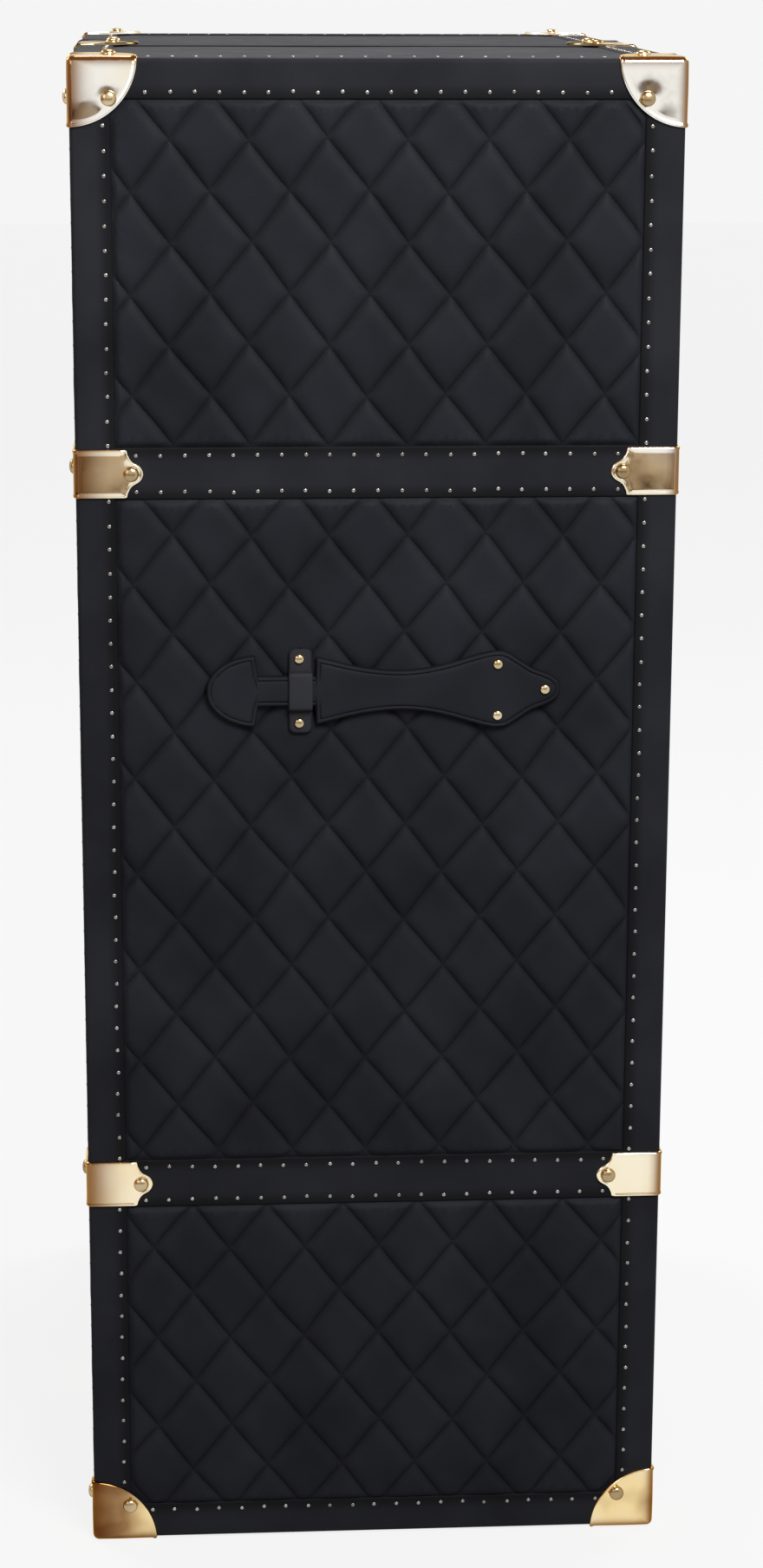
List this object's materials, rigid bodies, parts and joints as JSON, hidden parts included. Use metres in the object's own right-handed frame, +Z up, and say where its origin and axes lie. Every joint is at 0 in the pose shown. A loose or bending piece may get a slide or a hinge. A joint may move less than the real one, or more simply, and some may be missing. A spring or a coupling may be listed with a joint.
{
  "type": "bar trunk",
  "caption": "Upright quilted leather bar trunk that opens like a book on a back hinge, with brass caps and clamps, sliding strap handles, drawers and bottle bays.",
  "frame": {"origin": "middle of the closed trunk's footprint, on the floor", "axes": "+Z up, -Y the front with the latches, +X the right half's quilted side, the one pictured"},
  "size_m": [0.7426, 0.517, 1.297],
  "materials": {
    "quilted_leather": "satin",
    "black_leather": "satin",
    "polished_brass": "polished",
    "lined_board": "leather covered outside, lined inside",
    "dark_walnut": "satin"
  },
  "bodies": {
    "right_half": {"right_back_bottom_cap": "polished_brass", "right_back_bottom_rim_cap": "polished_brass", "right_back_lower_clamp": "polished_brass", "right_back_quilt": "quilted_leather", "right_back_top_cap": "polished_brass", "right_back_top_rim_cap": "polished_brass", "right_back_upper_clamp": "polished_brass", "right_binding": "black_leather", "right_carcase": "lined_board", "right_fitment": "dark_walnut", "right_front_bottom_cap": "polished_brass", "right_front_bottom_rim_cap": "polished_brass", "right_front_lower_clamp": "polished_brass", "right_front_quilt": "quilted_leather", "right_front_top_cap": "polished_brass", "right_front_top_rim_cap": "polished_brass", "right_front_upper_clamp": "polished_brass", "right_hinge_leaf": "polished_brass", "right_keeper": "black_leather", "right_side_quilt": "quilted_leather", "right_strap_anchor": "black_leather", "hinge_pin": "polished_brass", "upper_latch_plate": "polished_brass", "lower_latch_plate": "polished_brass"},
    "left_half": {"left_back_bottom_cap": "polished_brass", "left_back_bottom_rim_cap": "polished_brass", "left_back_lower_clamp": "polished_brass", "left_back_quilt": "quilted_leather", "left_back_top_cap": "polished_brass", "left_back_top_rim_cap": "polished_brass", "left_back_upper_clamp": "polished_brass", "left_binding": "black_leather", "left_carcase": "lined_board", "left_fitment": "dark_walnut", "left_front_bottom_cap": "polished_brass", "left_front_bottom_rim_cap": "polished_brass", "left_front_lower_clamp": "polished_brass", "left_front_quilt": "quilted_leather", "left_front_top_cap": "polished_brass", "left_front_top_rim_cap": "polished_brass", "left_front_upper_clamp": "polished_brass", "left_hinge_leaf": "polished_brass", "left_keeper": "black_leather", "left_side_quilt": "quilted_leather", "left_strap_anchor": "black_leather", "upper_staple": "polished_brass", "lower_staple": "polished_brass", "bottle_guard": "polished_brass"},
    "upper_hasp": {"upper_hasp": "polished_brass"},
    "lower_hasp": {"lower_hasp": "polished_brass"},
    "upper_drawer": {"upper_drawer": "dark_walnut", "upper_knob": "polished_brass"},
    "lower_drawer": {"lower_drawer": "dark_walnut", "lower_knob": "polished_brass"},
    "right_strap_near": {"right_strap_near": "black_leather"},
    "right_strap_far": {"right_strap_far": "black_leather"},
    "right_strap_end": {"right_strap_end": "black_leather"},
    "left_strap_near": {"left_strap_near": "black_leather"},
    "left_strap_far": {"left_strap_far": "black_leather"},
    "left_strap_end": {"left_strap_end": "black_leather"}
  },
  "joints": [
    {"name": "case_hinge", "type": "hinge", "parent": "right_half", "child": "left_half", "pos_m": [0, 0.2544, 0.65], "axis": [0, 0, -1], "range_deg": [0, 165]},
    {"name": "upper_hasp_swing", "type": "hinge", "parent": "right_half", "child": "upper_hasp", "pos_m": [0.009, -0.2544, 0.81], "axis": [0, 0, -1], "range_deg": [0, 180]},
    {"name": "lower_hasp_swing", "type": "hinge", "parent": "right_half", "child": "lower_hasp", "pos_m": [0.009, -0.2544, 0.49], "axis": [0, 0, -1], "range_deg": [0, 180]},
    {"name": "upper_drawer_slide", "type": "slide", "parent": "right_half", "child": "upper_drawer", "axis": [-1, 0, 0], "range_m": [0, 0.22]},
    {"name": "lower_drawer_slide", "type": "slide", "parent": "right_half", "child": "lower_drawer", "axis": [-1, 0, 0], "range_m": [0, 0.22]},
    {"name": "right_strap_lift", "type": "hinge", "parent": "right_half", "child": "right_strap_near", "pos_m": [0.3683, 0.09, 0.776], "axis": [0, 0, 1], "range_deg": [0, 40]},
    {"name": "right_strap_bow", "type": "hinge", "parent": "right_strap_near", "child": "right_strap_far", "pos_m": [0.3633, 0.025, 0.776], "axis": [0, 0, 1], "range_deg": [-80, 0]},
    {"name": "right_strap_return", "type": "hinge", "parent": "right_strap_far", "child": "right_strap_end", "pos_m": [0.3683, -0.04, 0.776], "axis": [0, 0, 1], "range_deg": [0, 40]},
    {"name": "left_strap_lift", "type": "hinge", "parent": "left_half", "child": "left_strap_near", "pos_m": [-0.3683, 0.09, 0.776], "axis": [0, 0, -1], "range_deg": [0, 40]},
    {"name": "left_strap_bow", "type": "hinge", "parent": "left_strap_near", "child": "left_strap_far", "pos_m": [-0.3633, 0.025, 0.776], "axis": [0, 0, -1], "range_deg": [-80, 0]},
    {"name": "left_strap_return", "type": "hinge", "parent": "left_strap_far", "child": "left_strap_end", "pos_m": [-0.3683, -0.04, 0.776], "axis": [0, 0, -1], "range_deg": [0, 40]}
  ],
  "couplings": [
    {"joint": "right_strap_bow", "follows": "right_strap_lift", "ratio": -2},
    {"joint": "right_strap_return", "follows": "right_strap_lift", "ratio": 1},
    {"joint": "left_strap_bow", "follows": "left_strap_lift", "ratio": -2},
    {"joint": "left_strap_return", "follows": "left_strap_lift", "ratio": 1}
  ]
}
